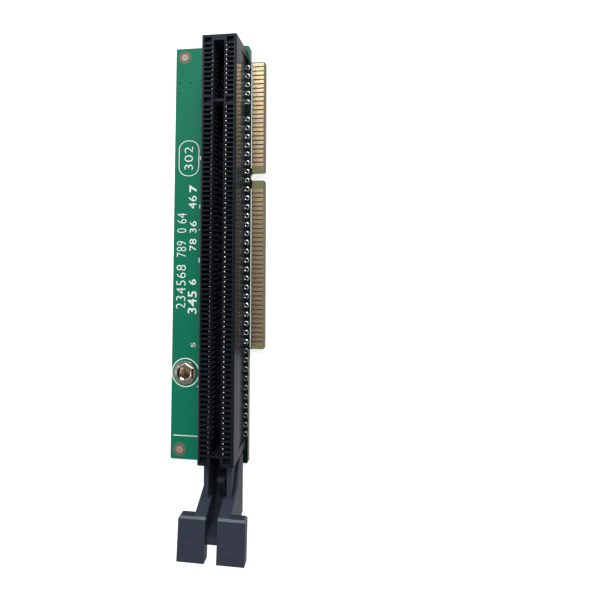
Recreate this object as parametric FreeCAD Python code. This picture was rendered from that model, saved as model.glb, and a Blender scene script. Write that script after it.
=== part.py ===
import FreeCAD, Part
import math
import os

# PCI Express riser card for a small server: a bare circuit board with a card edge along one side, an x16 slot
# soldered on its front face, a card latch hinged in the slot's lower end and a threaded nut for its bracket.
#
# Frame, in millimetres: the origin is the nut's axis on the board's front face. +Z points out of that face,
# +Y runs along the board from the latch's end to its upper end, and +X points to the card edge.

V = FreeCAD.Vector

# ---- driving dimensions: circuit board ------------------------------------------------------------------------
board_length = 93.5
board_width = 17.7
board_thickness = 1.6
board_upper_corner = 0.9
board_corner = 0.3
nut_from_side = 3.25
nut_from_end = 19.0
fiducial_inset = 2.1
fiducial_radius = 0.78
copper_thickness = 0.05

# ---- driving dimensions: card edge ----------------------------------------------------------------------------
tab_reach = 3.6
tab_from_top = 4.05
upper_tab_length = 25.5
lower_tab_length = 37.5
notch_width = 1.75
tab_corner = 0.5
tab_bevel = 0.4
finger_pitch = 1.0
finger_width = 0.72
finger_length = 2.5
finger_from_tip = 0.45
upper_finger_count = 24
lower_finger_count = 35
fingers_lost_at_notch = 5
first_finger_inset = 0.1

# ---- driving dimensions: slot housing -------------------------------------------------------------------------
slot_from_side = 13.55
contact_from_top = 4.25
contact_pitch = 1.0
short_section_count = 11
long_section_count = 71
contacts_lost_at_key = 2
slot_height = 11.25
slot_width = 7.5
slot_foot_width = 6.5
slot_taper_height = 7.5
slot_end = 2.4
slot_standoff = 0.35
rim_chamfer = 0.3
channel_width = 2.0
channel_floor = 3.5
channel_past_first = 1.1
channel_past_last = 0.45
lead_in_width = 0.15
lead_in_depth = 0.45
key_bar_length = 0.5
key_bar_drop = 0.4
cell_length = 0.62
cell_inner = 1.35
cell_outer = 3.15
cell_bar_height = 0.85
pocket_length = 1.15
pocket_depth = 1.0
pocket_gap = 0.3
taper_past_contact = 0.6
peg_radius = 1.1
peg_clearance = 0.05
foot_length = 1.2

# ---- driving dimensions: contacts and solder ------------------------------------------------------------------
contact_thickness = 0.2
contact_width = 0.46
outer_tail = 3.3
inner_tail = 1.45
bulge_reach = 0.82
bulge_height = 7.9
tip_clearance = 0.13
tip_below_mouth = 0.45
outer_tail_inset = 0.2
solder_radius = 0.68
solder_height = 0.9
solder_sides = 4

# ---- driving dimensions: retention latch ----------------------------------------------------------------------
pivot_from_slot_end = 0.9
pivot_height = 3.0
pivot_pin_radius = 0.4
pivot_clearance = 0.05
pivot_root_radius = 0.65
arm_inner = 1.9
arm_thickness = 1.0
arm_height = 9.2
arm_length = 9.55
arm_side_clearance = 0.1
arm_swing_clearance = 0.3
cheek_gap = 0.15
cheek_thickness = 0.55
cheek_from_slot_end = 0.65
cheek_heel_height = 4.5
cheek_bend_run = 5.0
cheek_bend_height = 6.7
cheek_floor = 2.2
cheek_tail_run = 4.0
web_thickness = 0.9
shoulder_thickness = 0.9
shoulder_run = 1.9
hook_thickness = 1.6
hook_height = 6.8
hook_from_slot_end = 4.25
hook_bevel = 0.4
paddle_width = 13.4
paddle_length = 8.05
paddle_thickness = 2.1
paddle_near_height = 13.2
paddle_far_height = 14.0
paddle_bevel = 0.35
paddle_corner = 0.45
paddle_gap = 2.4
bridge_from_near = 3.95
bridge_length = 1.3
bridge_drop = 1.0
grip_groove_count = 3
grip_groove_pitch = 1.5
grip_groove_width = 0.3
grip_groove_depth = 0.05
grip_from_far = 1.3

# ---- driving dimensions: bracket nut --------------------------------------------------------------------------
nut_flange_radius = 2.6
nut_flange_height = 0.3
nut_flats = 3.8
nut_height = 0.9
thread_radius = 1.25
thread_lead_in = 0.2
shank_radius = 1.95
shank_clearance = 0.05
shank_floor = 0.2

# ---- sizes worked out from those ------------------------------------------------------------------------------
side_x = -nut_from_side
root_x = side_x + board_width
tab_x = root_x + tab_reach
low_y = -nut_from_end
top_y = low_y + board_length
back_z = -board_thickness

tab_top_y = top_y - tab_from_top
notch_top_y = tab_top_y - upper_tab_length
notch_low_y = notch_top_y - notch_width
tab_low_y = notch_low_y - lower_tab_length

slot_x = side_x + slot_from_side
first_y = top_y - contact_from_top
last_index = short_section_count + contacts_lost_at_key + long_section_count - 1
last_y = first_y - last_index * contact_pitch
slot_top_y = first_y + slot_end
slot_low_y = last_y - slot_end
key_y = first_y - (short_section_count - 1 + (contacts_lost_at_key + 1) / 2) * contact_pitch
channel_top_y = first_y + channel_past_first
channel_low_y = last_y - channel_past_last
bar_floor = slot_height - cell_bar_height

pivot_y = slot_low_y + pivot_from_slot_end
arm_outer = arm_inner + arm_thickness
arm_end_y = slot_low_y + pivot_root_radius - arm_length
cheek_inner = arm_outer + cheek_gap
cheek_outer = cheek_inner + cheek_thickness
cheek_heel_y = slot_low_y - cheek_from_slot_end
paddle_near_y = arm_end_y
paddle_far_y = paddle_near_y - paddle_length
paddle_slope = (paddle_far_height - paddle_near_height) / (paddle_length - paddle_bevel)


# ---- small helpers --------------------------------------------------------------------------------------------
def box(x_range, y_range, z_range):
    """Block between three pairs of limits, given in any order."""
    low = V(min(x_range), min(y_range), min(z_range))
    high = V(max(x_range), max(y_range), max(z_range))
    size = high - low
    return Part.makeBox(size.x, size.y, size.z, low)


def prism(corners, run):
    """Closed outline of points, pushed along the vector run."""
    wire = Part.makePolygon(corners + [corners[0]])
    return Part.Face(wire).extrude(run)


def across_y(section, y_middle, length):
    """Section of (x, z) points about the slot's middle plane, extruded along Y about y_middle."""
    start = y_middle - length / 2
    corners = [V(slot_x + x, start, z) for x, z in section]
    return prism(corners, V(0, length, 0))


def across_x(section, x_from, x_to):
    """Section of (y, z) points extruded along X between two distances from the slot's middle plane."""
    corners = [V(slot_x + x_from, y, z) for y, z in section]
    return prism(corners, V(x_to - x_from, 0, 0))


def mirrored(shape):
    """The same shape on the other side of the slot's middle plane."""
    return shape.mirror(V(slot_x, 0, 0), V(1, 0, 0))


def both_sides(shape):
    return [shape, mirrored(shape)]


def upright_edges(shape, places):
    """Edges along Z that stand at any of the (x, y) places."""
    found = []
    for edge in shape.Edges:
        ends = [vertex.Point for vertex in edge.Vertexes]
        if len(ends) != 2 or abs(ends[0].z - ends[1].z) < 0.1:
            continue
        for x, y in places:
            if all(math.hypot(end.x - x, end.y - y) < 0.01 for end in ends):
                found.append(edge)
                break
    return found


def strip_outline(path, thickness):
    """Outline of a strip whose middle follows a path of (x, z) points, of even thickness up to a coined tip."""
    normals = []
    for (x0, z0), (x1, z1) in zip(path, path[1:]):
        length = math.hypot(x1 - x0, z1 - z0)
        normals.append(((z0 - z1) / length, (x1 - x0) / length))
    joints = [normals[0]]
    for (ax, az), (bx, bz) in zip(normals, normals[1:]):
        share = 1 + ax * bx + az * bz
        joints.append(((ax + bx) / share, (az + bz) / share))
    half = thickness / 2
    left = [(x + half * nx, z + half * nz) for (x, z), (nx, nz) in zip(path, joints)]
    right = [(x - half * nx, z - half * nz) for (x, z), (nx, nz) in zip(path, joints)]
    return left + [path[-1]] + right[::-1]


def save(name, shapes):
    """Write one sub-part, of one or several separate solids, to its STEP file."""
    solids = []
    for shape in shapes:
        solids.extend(shape.Solids)
    whole = solids[0] if len(solids) == 1 else Part.makeCompound(solids)
    whole.exportStep(os.path.join("parts", name + ".step"))
    print(f"{name}: {len(solids)} solid(s), {sum(s.Volume for s in solids):.2f} mm3, valid {whole.isValid()}")


# ---- contact places -------------------------------------------------------------------------------------------
def contact_indices(section):
    """Contact places along one section of the slot, counted in pitches from the first contact."""
    if section == "short":
        return range(short_section_count)
    start = short_section_count + contacts_lost_at_key
    return range(start, start + long_section_count)


def row_indices(section, row):
    """Every other contact of a section has its tail in the outer row, and the rest in the inner row."""
    count = 0 if section == "short" else short_section_count
    wanted = 1 if row == "outer" else 0
    return [index for number, index in enumerate(contact_indices(section)) if (number + count) % 2 == wanted]


def contact_y(index):
    return first_y - index * contact_pitch


SECTIONS = ("short", "long")
ROWS = ("inner", "outer")
SIDES = {"left": -1, "right": 1}


# ---- circuit board --------------------------------------------------------------------------------------------
def board_outline():
    """Board with the two-part card edge on its right side, and the notch between them square-ended."""
    return [
        V(side_x, low_y, back_z),
        V(root_x, low_y, back_z),
        V(root_x, tab_low_y, back_z),
        V(tab_x, tab_low_y, back_z),
        V(tab_x, notch_low_y, back_z),
        V(root_x + notch_width / 2, notch_low_y, back_z),
        V(root_x + notch_width / 2, notch_top_y, back_z),
        V(tab_x, notch_top_y, back_z),
        V(tab_x, tab_top_y, back_z),
        V(root_x, tab_top_y, back_z),
        V(root_x, top_y, back_z),
        V(side_x, top_y, back_z),
    ]


def circuit_board():
    board = prism(board_outline(), V(0, 0, board_thickness))
    notch_y = (notch_low_y + notch_top_y) / 2
    notch_end = V(root_x + notch_width / 2, notch_y, back_z)
    board = board.cut(Part.makeCylinder(notch_width / 2, board_thickness, notch_end))
    board = board.makeFillet(board_upper_corner, upright_edges(board, [(root_x, top_y)]))
    board_corners = [(side_x, low_y), (root_x, low_y), (side_x, top_y)]
    board = board.makeFillet(board_corner, upright_edges(board, board_corners))
    tab_corners = [(tab_x, tab_low_y), (tab_x, notch_low_y), (tab_x, notch_top_y), (tab_x, tab_top_y)]
    board = board.makeFillet(tab_corner, upright_edges(board, tab_corners))
    bevels = []
    for face_z, inward in ((0, -tab_bevel), (back_z, tab_bevel)):
        corners = [
            V(tab_x - tab_bevel, tab_low_y, face_z),
            V(tab_x, tab_low_y, face_z + inward),
            V(tab_x, tab_low_y, face_z),
        ]
        bevels.append(prism(corners, V(0, tab_top_y - tab_low_y, 0)))
    board = board.cut(bevels)
    holes = [Part.makeCylinder(shank_radius + shank_clearance, board_thickness, V(0, 0, back_z))]
    for peg_y in peg_places():
        holes.append(Part.makeCylinder(peg_radius + peg_clearance, board_thickness, V(slot_x, peg_y, back_z)))
    return board.cut(holes)


def finger_row(count, first, face):
    """Gold-plated contact fingers of one tab, on the front or the back face."""
    z_limits = (0, copper_thickness) if face == "front" else (back_z - copper_thickness, back_z)
    x_limits = (tab_x - finger_from_tip - finger_length, tab_x - finger_from_tip)
    fingers = []
    for number in range(count):
        middle = tab_top_y - first_finger_inset - (first + number + 0.5) * finger_pitch
        y_limits = (middle - finger_width / 2, middle + finger_width / 2)
        fingers.append(box(x_limits, y_limits, z_limits))
    return fingers


def fiducial(y):
    """Round copper sighting mark."""
    return Part.makeCylinder(fiducial_radius, copper_thickness, V(side_x + fiducial_inset, y, 0))


# ---- slot housing ---------------------------------------------------------------------------------------------
def peg_places():
    """The two moulded locating pegs stand under the key and under the latch's end."""
    return [key_y, slot_low_y + peg_radius]


def housing_block():
    mouth = slot_width / 2
    section = [
        (-mouth, slot_standoff),
        (mouth, slot_standoff),
        (mouth, slot_height - rim_chamfer),
        (mouth - rim_chamfer, slot_height),
        (-mouth + rim_chamfer, slot_height),
        (-mouth, slot_height - rim_chamfer),
    ]
    return across_y(section, (slot_top_y + slot_low_y) / 2, slot_top_y - slot_low_y)


def channel_cut(y_from, y_to):
    """Card channel with a sloped lead-in at its mouth."""
    half = channel_width / 2
    wide = half + lead_in_width
    section = [
        (-half, channel_floor),
        (half, channel_floor),
        (half, slot_height - lead_in_depth),
        (wide, slot_height),
        (-wide, slot_height),
        (-half, slot_height - lead_in_depth),
    ]
    return across_y(section, (y_from + y_to) / 2, abs(y_to - y_from))


def cell_cut(index):
    """Contact cell: open above and below, and open to the channel under the bar along the mouth."""
    inner = channel_width / 2
    section = [
        (cell_inner, slot_height + 1),
        (cell_outer, slot_height + 1),
        (cell_outer, -1),
        (inner, -1),
        (inner, bar_floor),
        (cell_inner, bar_floor),
    ]
    return across_y(section, contact_y(index), cell_length)


def pocket_cut(y_middle):
    """Shallow moulded pocket in line with the cells."""
    x_limits = (slot_x + cell_inner + pocket_gap, slot_x + cell_outer)
    y_limits = (y_middle - pocket_length / 2, y_middle + pocket_length / 2)
    return box(x_limits, y_limits, (slot_height - pocket_depth, slot_height + 1))


def taper_cut():
    """The side wall tapers in to a narrower foot, between an upright block at each end."""
    mouth = slot_width / 2
    foot = slot_foot_width / 2
    section = [
        (mouth, slot_taper_height),
        (foot, slot_standoff),
        (foot, 0),
        (mouth + 1, 0),
        (mouth + 1, slot_taper_height),
    ]
    return across_y(section, (first_y + last_y) / 2, first_y - last_y + 2 * taper_past_contact)


def latch_cuts():
    """Room in the lower end for the latch: a slot for each arm, a hole for each pin and a recess for the hook."""
    arm_x = (slot_x + arm_inner - arm_side_clearance, slot_x + arm_outer + arm_side_clearance)
    arm_y = (slot_low_y - 1, pivot_y + pivot_root_radius + arm_side_clearance)
    arm_z = (pivot_height - pivot_root_radius - arm_swing_clearance, arm_height + arm_swing_clearance)
    arm_slot = box(arm_x, arm_y, arm_z)
    hole_start = V(slot_x + arm_outer, pivot_y, pivot_height)
    hole = Part.makeCylinder(pivot_pin_radius + pivot_clearance, slot_width, hole_start, V(1, 0, 0))
    hook_half = channel_width / 2
    recess_y = (slot_low_y - 1, channel_low_y - cell_bar_height / 3)
    recess = box((slot_x - hook_half, slot_x + hook_half), recess_y, (channel_floor, slot_height + 1))
    return both_sides(arm_slot) + both_sides(hole) + [recess]


def slot_housing():
    housing = housing_block()
    half_key = key_bar_length / 2
    cuts = [channel_cut(channel_top_y, key_y + half_key), channel_cut(key_y - half_key, channel_low_y)]
    key_half_width = channel_width / 2 + lead_in_width
    key_x = (slot_x - key_half_width, slot_x + key_half_width)
    cuts.append(box(key_x, (key_y - half_key, key_y + half_key), (slot_height - key_bar_drop, slot_height + 1)))
    for section in SECTIONS:
        for index in contact_indices(section):
            cuts.extend(both_sides(cell_cut(index)))
    pocket_reach = slot_end - pocket_length / 2 - 2 * rim_chamfer
    for pocket_y in (first_y + pocket_reach, key_y, last_y - pocket_reach):
        cuts.extend(both_sides(pocket_cut(pocket_y)))
    cuts.extend(both_sides(taper_cut()))
    cuts.extend(latch_cuts())
    housing = housing.cut(cuts)
    seats = []
    for foot_y in (slot_top_y - foot_length / 2, key_y, slot_low_y + foot_length / 2):
        x_limits = (slot_x - channel_width / 2, slot_x + channel_width / 2)
        seats.append(box(x_limits, (foot_y - foot_length / 2, foot_y + foot_length / 2), (0, slot_standoff)))
    for peg_y in peg_places():
        seats.append(Part.makeCylinder(peg_radius, board_thickness + slot_standoff, V(slot_x, peg_y, back_z)))
    return housing.fuse(seats).removeSplitter()


# ---- contacts and solder --------------------------------------------------------------------------------------
def contact_path(row):
    """Middle line of a spring contact, from its foot on the board to its tip behind the mouth's bar."""
    bulge = (bulge_reach, bulge_height)
    tip = (cell_inner + tip_clearance, slot_height - tip_below_mouth)
    foot = (outer_tail - outer_tail_inset, 0) if row == "outer" else (inner_tail, 0)
    return [foot, bulge, tip]


def contacts(side, section, row):
    outline = strip_outline(contact_path(row), contact_thickness)
    outline = [(x, max(z, 0)) for x, z in outline]
    shapes = []
    for index in row_indices(section, row):
        contact = across_y(outline, contact_y(index), contact_width)
        shapes.append(contact if SIDES[side] > 0 else mirrored(contact))
    return shapes


def solder_joint(x, y):
    """Cone-like solder joint over a trimmed tail, on the board's back."""
    ring = []
    for corner in range(solder_sides):
        angle = 2 * math.pi * (corner + 0.5) / solder_sides
        ring.append(V(x + solder_radius * math.cos(angle), y + solder_radius * math.sin(angle), back_z))
    base = Part.makePolygon(ring + [ring[0]])
    tip = Part.Vertex(V(x, y, back_z - solder_height))
    return Part.makeLoft([base, tip], True, True)


def solder_row(side, section, row):
    reach = outer_tail if row == "outer" else inner_tail
    x = slot_x + SIDES[side] * reach
    return [solder_joint(x, contact_y(index)) for index in row_indices(section, row)]


# ---- retention latch ------------------------------------------------------------------------------------------
def latch_arm():
    """Arm from the pivot to the paddle, round at its root, with its pivot pin."""
    x = slot_x + arm_inner
    low_z = pivot_height - pivot_root_radius
    root_y = pivot_y + pivot_root_radius
    sweep = pivot_root_radius * math.sqrt(0.5)
    start = V(x, root_y, pivot_height)
    end = V(x, pivot_y, low_z)
    root = Part.Arc(start, V(x, pivot_y + sweep, pivot_height - sweep), end).toShape()
    straight = [
        end,
        V(x, cheek_heel_y, low_z),
        V(x, arm_end_y, cheek_floor),
        V(x, arm_end_y, arm_height),
        V(x, root_y, arm_height),
        start,
    ]
    profile = Part.Wire([root] + Part.makePolygon(straight).Edges)
    arm = Part.Face(profile).extrude(V(arm_thickness, 0, 0))
    pin_start = V(x + arm_thickness / 2, pivot_y, pivot_height)
    pin_length = slot_width / 2 - arm_inner - arm_thickness / 2
    return arm.fuse(Part.makeCylinder(pivot_pin_radius, pin_length, pin_start, V(1, 0, 0)))


def latch_cheek():
    """Side plate that stiffens the paddle, sloping up from its heel beside the slot's end."""
    underside = paddle_near_height - paddle_thickness
    section = [
        (cheek_heel_y, cheek_floor),
        (cheek_heel_y, cheek_heel_height),
        (cheek_heel_y - cheek_bend_run, cheek_bend_height),
        (paddle_near_y, paddle_near_height - paddle_bevel),
        (paddle_far_y + cheek_tail_run / 2, underside + grip_groove_depth),
        (paddle_near_y - cheek_tail_run, cheek_floor),
    ]
    return across_x(section, cheek_inner, cheek_outer)


def paddle():
    """Thumb paddle: a thick plate that rises a little to its far edge, split by a gap with a bridge across it."""
    near_top = (paddle_near_y - paddle_bevel, paddle_near_height)
    section = [
        (paddle_near_y, paddle_near_height - paddle_thickness),
        (paddle_near_y, paddle_near_height - paddle_bevel),
        near_top,
        (paddle_far_y, paddle_far_height),
        (paddle_far_y, paddle_far_height - paddle_thickness),
    ]
    half = paddle_width / 2
    plate = across_x(section, -half, half)
    corners = [(slot_x - half, paddle_near_y), (slot_x + half, paddle_near_y)]
    plate = plate.makeFillet(paddle_corner, upright_edges(plate, corners))
    gap_x = (slot_x - paddle_gap / 2, slot_x + paddle_gap / 2)
    cuts = [box(gap_x, (paddle_near_y + 1, paddle_far_y - 1), (0, 2 * paddle_far_height))]
    for number in range(grip_groove_count):
        groove_y = paddle_far_y + grip_from_far + number * grip_groove_pitch
        top = paddle_far_height - (groove_y - paddle_far_y) * paddle_slope
        y_limits = (groove_y - grip_groove_width / 2, groove_y + grip_groove_width / 2)
        x_limits = (slot_x - paddle_width, slot_x + paddle_width)
        cuts.append(box(x_limits, y_limits, (top - grip_groove_depth, 2 * paddle_far_height)))
    return plate.cut(cuts)


def latch_wall():
    """Cross wall behind the floor, sloping up between the cheeks; its top bridges the gap of the paddle."""
    tail_y = paddle_near_y - cheek_tail_run
    bridge_y = paddle_near_y - bridge_from_near
    bridge_top = paddle_near_height + bridge_from_near * paddle_slope - bridge_drop
    section = [
        (tail_y + web_thickness, cheek_floor),
        (tail_y, cheek_floor),
        (bridge_y - bridge_length, bridge_top),
        (bridge_y, bridge_top),
    ]
    return across_x(section, -cheek_outer, cheek_outer)


def latch_shoulder():
    """Rib that carries the paddle on one arm, sloping up from the arm's top to the paddle's near edge."""
    section = [
        (paddle_near_y + shoulder_run, arm_height - shoulder_thickness),
        (paddle_near_y + shoulder_run, arm_height),
        (paddle_near_y, paddle_near_height - paddle_bevel),
        (paddle_near_y - shoulder_run, paddle_near_height - paddle_bevel),
        (paddle_near_y - shoulder_run, arm_height - shoulder_thickness),
    ]
    return across_x(section, paddle_gap / 2, cheek_outer)


def retention_latch():
    pieces = both_sides(latch_arm()) + both_sides(latch_cheek()) + both_sides(latch_shoulder())
    pieces.append(latch_wall())
    web_y = (cheek_heel_y - web_thickness, paddle_near_y - cheek_tail_run + web_thickness / 2)
    pieces.append(box((slot_x - cheek_outer, slot_x + cheek_outer), web_y, (cheek_floor, cheek_floor + web_thickness)))
    hook_y = slot_low_y - hook_from_slot_end
    hook_section = [
        (hook_y, cheek_floor),
        (hook_y, hook_height - hook_bevel),
        (hook_y - hook_bevel, hook_height),
        (hook_y - 2 * hook_bevel, hook_height),
        (arm_end_y, cheek_floor + 2 * web_thickness),
        (arm_end_y, cheek_floor),
    ]
    pieces.append(across_x(hook_section, -hook_thickness / 2, hook_thickness / 2))
    return paddle().fuse(pieces).removeSplitter()


# ---- bracket nut ----------------------------------------------------------------------------------------------
def bracket_nut():
    """Broached nut: a round flange and a low hexagon on the front face, and a shank closed at the board's back."""
    corner_radius = nut_flats / 2 / math.cos(math.pi / 6)
    ring = []
    for corner in range(6):
        angle = math.pi / 3 * (corner + 0.5)
        ring.append(V(corner_radius * math.cos(angle), corner_radius * math.sin(angle), 0))
    nut = prism(ring, V(0, 0, nut_height))
    nut = nut.fuse(Part.makeCylinder(nut_flange_radius, nut_flange_height))
    nut = nut.fuse(Part.makeCylinder(shank_radius, board_thickness, V(0, 0, back_z)))
    thread_depth = board_thickness + nut_height - shank_floor
    nut = nut.cut(Part.makeCylinder(thread_radius, thread_depth, V(0, 0, back_z + shank_floor)))
    mouth_radius = thread_radius + thread_lead_in
    mouth = Part.makeCone(thread_radius, mouth_radius, thread_lead_in, V(0, 0, nut_height - thread_lead_in))
    return nut.cut(mouth).removeSplitter()


# ---- build every sub-part -------------------------------------------------------------------------------------
os.makedirs("parts", exist_ok=True)
save("circuit_board", [circuit_board()])
save("slot_housing", [slot_housing()])
save("retention_latch", [retention_latch()])
save("bracket_nut", [bracket_nut()])
save("upper_fiducial", [fiducial(top_y - fiducial_inset)])
save("lower_fiducial", [fiducial(low_y + fiducial_inset)])
lower_first = upper_finger_count + fingers_lost_at_notch
for face in ("front", "back"):
    save(f"{face}_upper_fingers", finger_row(upper_finger_count, 0, face))
    save(f"{face}_lower_fingers", finger_row(lower_finger_count, lower_first, face))
for side in SIDES:
    for section in SECTIONS:
        for row in ROWS:
            save(f"{side}_{section}_{row}_contacts", contacts(side, section, row))
            save(f"{side}_{section}_{row}_solder", solder_row(side, section, row))
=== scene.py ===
# %% [markdown]
# # A riser card and its looks
# A riser card turns an expansion card on its side. It is a slim circuit board with gold fingers along one edge, which
# plug into the computer, and a long black slot on its face, which takes the card. This lesson dresses the finished
# CAD model: it gives every piece its material and adds what is too fine for the model, such as print, pads and solder.
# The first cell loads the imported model. Its pieces already lie where they belong, so nothing here is moved to fit.

# %% Load the model
import math

import bmesh
import bpy
from mathutils import Matrix, Vector


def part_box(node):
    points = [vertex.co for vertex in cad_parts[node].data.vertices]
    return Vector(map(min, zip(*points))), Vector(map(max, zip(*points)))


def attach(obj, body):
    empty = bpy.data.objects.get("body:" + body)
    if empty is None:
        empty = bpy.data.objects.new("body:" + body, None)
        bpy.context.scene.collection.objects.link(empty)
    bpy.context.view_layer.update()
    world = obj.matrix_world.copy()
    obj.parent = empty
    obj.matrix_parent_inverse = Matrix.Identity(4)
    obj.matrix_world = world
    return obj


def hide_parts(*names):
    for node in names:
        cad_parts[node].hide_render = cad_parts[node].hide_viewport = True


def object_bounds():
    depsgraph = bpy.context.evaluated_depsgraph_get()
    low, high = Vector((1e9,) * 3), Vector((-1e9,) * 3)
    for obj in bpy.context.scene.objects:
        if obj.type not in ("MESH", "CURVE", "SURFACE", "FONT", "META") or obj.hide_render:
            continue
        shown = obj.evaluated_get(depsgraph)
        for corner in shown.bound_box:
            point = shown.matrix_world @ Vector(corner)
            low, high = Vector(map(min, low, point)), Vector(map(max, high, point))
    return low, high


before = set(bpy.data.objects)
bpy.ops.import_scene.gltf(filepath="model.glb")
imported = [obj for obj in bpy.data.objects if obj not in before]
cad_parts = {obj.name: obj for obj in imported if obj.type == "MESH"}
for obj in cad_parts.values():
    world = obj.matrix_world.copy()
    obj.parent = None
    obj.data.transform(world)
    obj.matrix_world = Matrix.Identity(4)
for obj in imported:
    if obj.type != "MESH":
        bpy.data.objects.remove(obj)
cad_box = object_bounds()
print("loaded", len(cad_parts), "pieces, box", [[round(v, 4) for v in corner] for corner in cad_box])

# %% [markdown]
# Sizes come from the model where it has them, so that a changed model still dresses well. A few more describe what
# only the looks need, such as the pitch of the contacts. Blender works in metres, and MM keeps the numbers readable.
# FRONT and BACK are the heights of the board's two faces.


# %% Measure the model
MM = 0.001


def corners_of(node_name):
    """The low and the high corner of a CAD piece's box."""
    return [Vector(corner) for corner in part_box(node_name)]


board_low, board_high = corners_of("circuit_board")
slot_low, slot_high = corners_of("slot_housing")
latch_low, _ = corners_of("retention_latch")
upper_low, upper_high = corners_of("front_upper_fingers")
lower_low, lower_high = corners_of("front_lower_fingers")

FRONT = board_high.z
BACK = board_low.z
SLOT_X = (slot_low.x + slot_high.x) / 2
SLOT_MIDDLE_Y = (slot_low.y + slot_high.y) / 2
CARD_EDGE_REACH = 3.6 * MM
ROOT_X = board_high.x - CARD_EDGE_REACH
PITCH = 1.0 * MM
END_TO_FIRST = 2.4 * MM
FIRST_Y = slot_high.y - END_TO_FIRST
SHORT_COUNT = 11
LONG_COUNT = 71
KEY_GAP = 2
print("slot middle at x", round(SLOT_X / MM, 2), "mm, first contact at y", round(FIRST_Y / MM, 2), "mm")

# %% [markdown]
# The contacts stand in two sections with the key between them. Every other contact has its tail in the outer row, and
# the rest in the inner row. Three kinds of piece below follow this list: tips, front pads and solder.


# %% Contact places
def contact_places():
    """Pairs of (y, row) for one side of the slot, from the upper end down."""
    places = []
    for number in range(SHORT_COUNT + LONG_COUNT):
        index = number if number < SHORT_COUNT else number + KEY_GAP
        places.append((FIRST_Y - index * PITCH, "outer" if number % 2 else "inner"))
    return places


contact_list = contact_places()
print(len(contact_list), "contacts a side, the last at y", round(contact_list[-1][0] / MM, 2), "mm")

# %% [markdown]
# Two effects serve several materials, so each is a node group with named inputs. **Mottle** drifts a colour a little
# from place to place, as no real surface is quite even. **Fine relief** is the small unevenness of moulded or
# coated surfaces, and hands a bent normal to the shader. Both read Object coordinates, so the pattern stays put.


# %% Build the shared effects
def add_socket(group, name, kind, direction, value=None):
    socket = group.interface.new_socket(name=name, in_out=direction, socket_type=kind)
    if value is not None:
        socket.default_value = value
    return socket


def make_mottle():
    group = bpy.data.node_groups.new("mottle", "ShaderNodeTree")
    add_socket(group, "Light", "NodeSocketColor", "INPUT", (0.5, 0.5, 0.5, 1))
    add_socket(group, "Dark", "NodeSocketColor", "INPUT", (0.4, 0.4, 0.4, 1))
    add_socket(group, "Scale", "NodeSocketFloat", "INPUT", 100.0)
    add_socket(group, "Color", "NodeSocketColor", "OUTPUT")
    nodes, links = group.nodes, group.links
    start = nodes.new("NodeGroupInput")
    end = nodes.new("NodeGroupOutput")
    place = nodes.new("ShaderNodeTexCoord")
    noise = nodes.new("ShaderNodeTexNoise")
    noise.inputs["Detail"].default_value = 4.0
    mix = nodes.new("ShaderNodeMix")
    mix.data_type = "RGBA"
    links.new(place.outputs["Object"], noise.inputs["Vector"])
    links.new(start.outputs["Scale"], noise.inputs["Scale"])
    links.new(noise.outputs["Fac"], mix.inputs["Factor"])
    links.new(start.outputs["Dark"], mix.inputs["A"])
    links.new(start.outputs["Light"], mix.inputs["B"])
    links.new(mix.outputs["Result"], end.inputs["Color"])
    return group


def make_fine_relief():
    group = bpy.data.node_groups.new("fine relief", "ShaderNodeTree")
    add_socket(group, "Scale", "NodeSocketFloat", "INPUT", 2000.0)
    add_socket(group, "Depth", "NodeSocketFloat", "INPUT", 0.00001)
    add_socket(group, "Normal", "NodeSocketVector", "OUTPUT")
    nodes, links = group.nodes, group.links
    start = nodes.new("NodeGroupInput")
    end = nodes.new("NodeGroupOutput")
    place = nodes.new("ShaderNodeTexCoord")
    noise = nodes.new("ShaderNodeTexNoise")
    noise.inputs["Detail"].default_value = 3.0
    bump = nodes.new("ShaderNodeBump")
    bump.inputs["Strength"].default_value = 1.0
    links.new(place.outputs["Object"], noise.inputs["Vector"])
    links.new(start.outputs["Scale"], noise.inputs["Scale"])
    links.new(start.outputs["Depth"], bump.inputs["Distance"])
    links.new(noise.outputs["Fac"], bump.inputs["Height"])
    links.new(bump.outputs["Normal"], end.inputs["Normal"])
    return group


mottle_group = make_mottle()
relief_group = make_fine_relief()
print("effects:", mottle_group.name, "and", relief_group.name)

# %% [markdown]
# Every material starts the same way: a Principled shader, a mottled colour and a fine relief. A short helper builds
# that, and hands back the material, its shader and its colour, so that each finish can add what is its own. More
# helpers read the place and the facing of a surface, turn them into masks, and blend two colours by a mask.


# %% A starting point for every finish
def add_mottle(nodes, light, dark, scale):
    colour = nodes.new("ShaderNodeGroup")
    colour.node_tree = mottle_group
    colour.inputs["Light"].default_value = (*light, 1)
    colour.inputs["Dark"].default_value = (*dark, 1)
    colour.inputs["Scale"].default_value = scale
    return colour.outputs["Color"]


def new_finish(name, light, dark, mottle_scale, relief_scale, relief_depth, roughness, metallic=0.0):
    material = bpy.data.materials.new(name)
    material.use_nodes = True
    nodes, links = material.node_tree.nodes, material.node_tree.links
    shader = nodes["Principled BSDF"]
    shader.inputs["Roughness"].default_value = roughness
    shader.inputs["Metallic"].default_value = metallic
    colour = add_mottle(nodes, light, dark, mottle_scale)
    relief = nodes.new("ShaderNodeGroup")
    relief.node_tree = relief_group
    relief.inputs["Scale"].default_value = relief_scale
    relief.inputs["Depth"].default_value = relief_depth
    links.new(colour, shader.inputs["Base Color"])
    links.new(relief.outputs["Normal"], shader.inputs["Normal"])
    return material, shader, colour


def split_place(nodes, links):
    """The X, Y and Z of a point on the object."""
    place = nodes.new("ShaderNodeTexCoord")
    split = nodes.new("ShaderNodeSeparateXYZ")
    links.new(place.outputs["Object"], split.inputs["Vector"])
    return split.outputs


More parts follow.
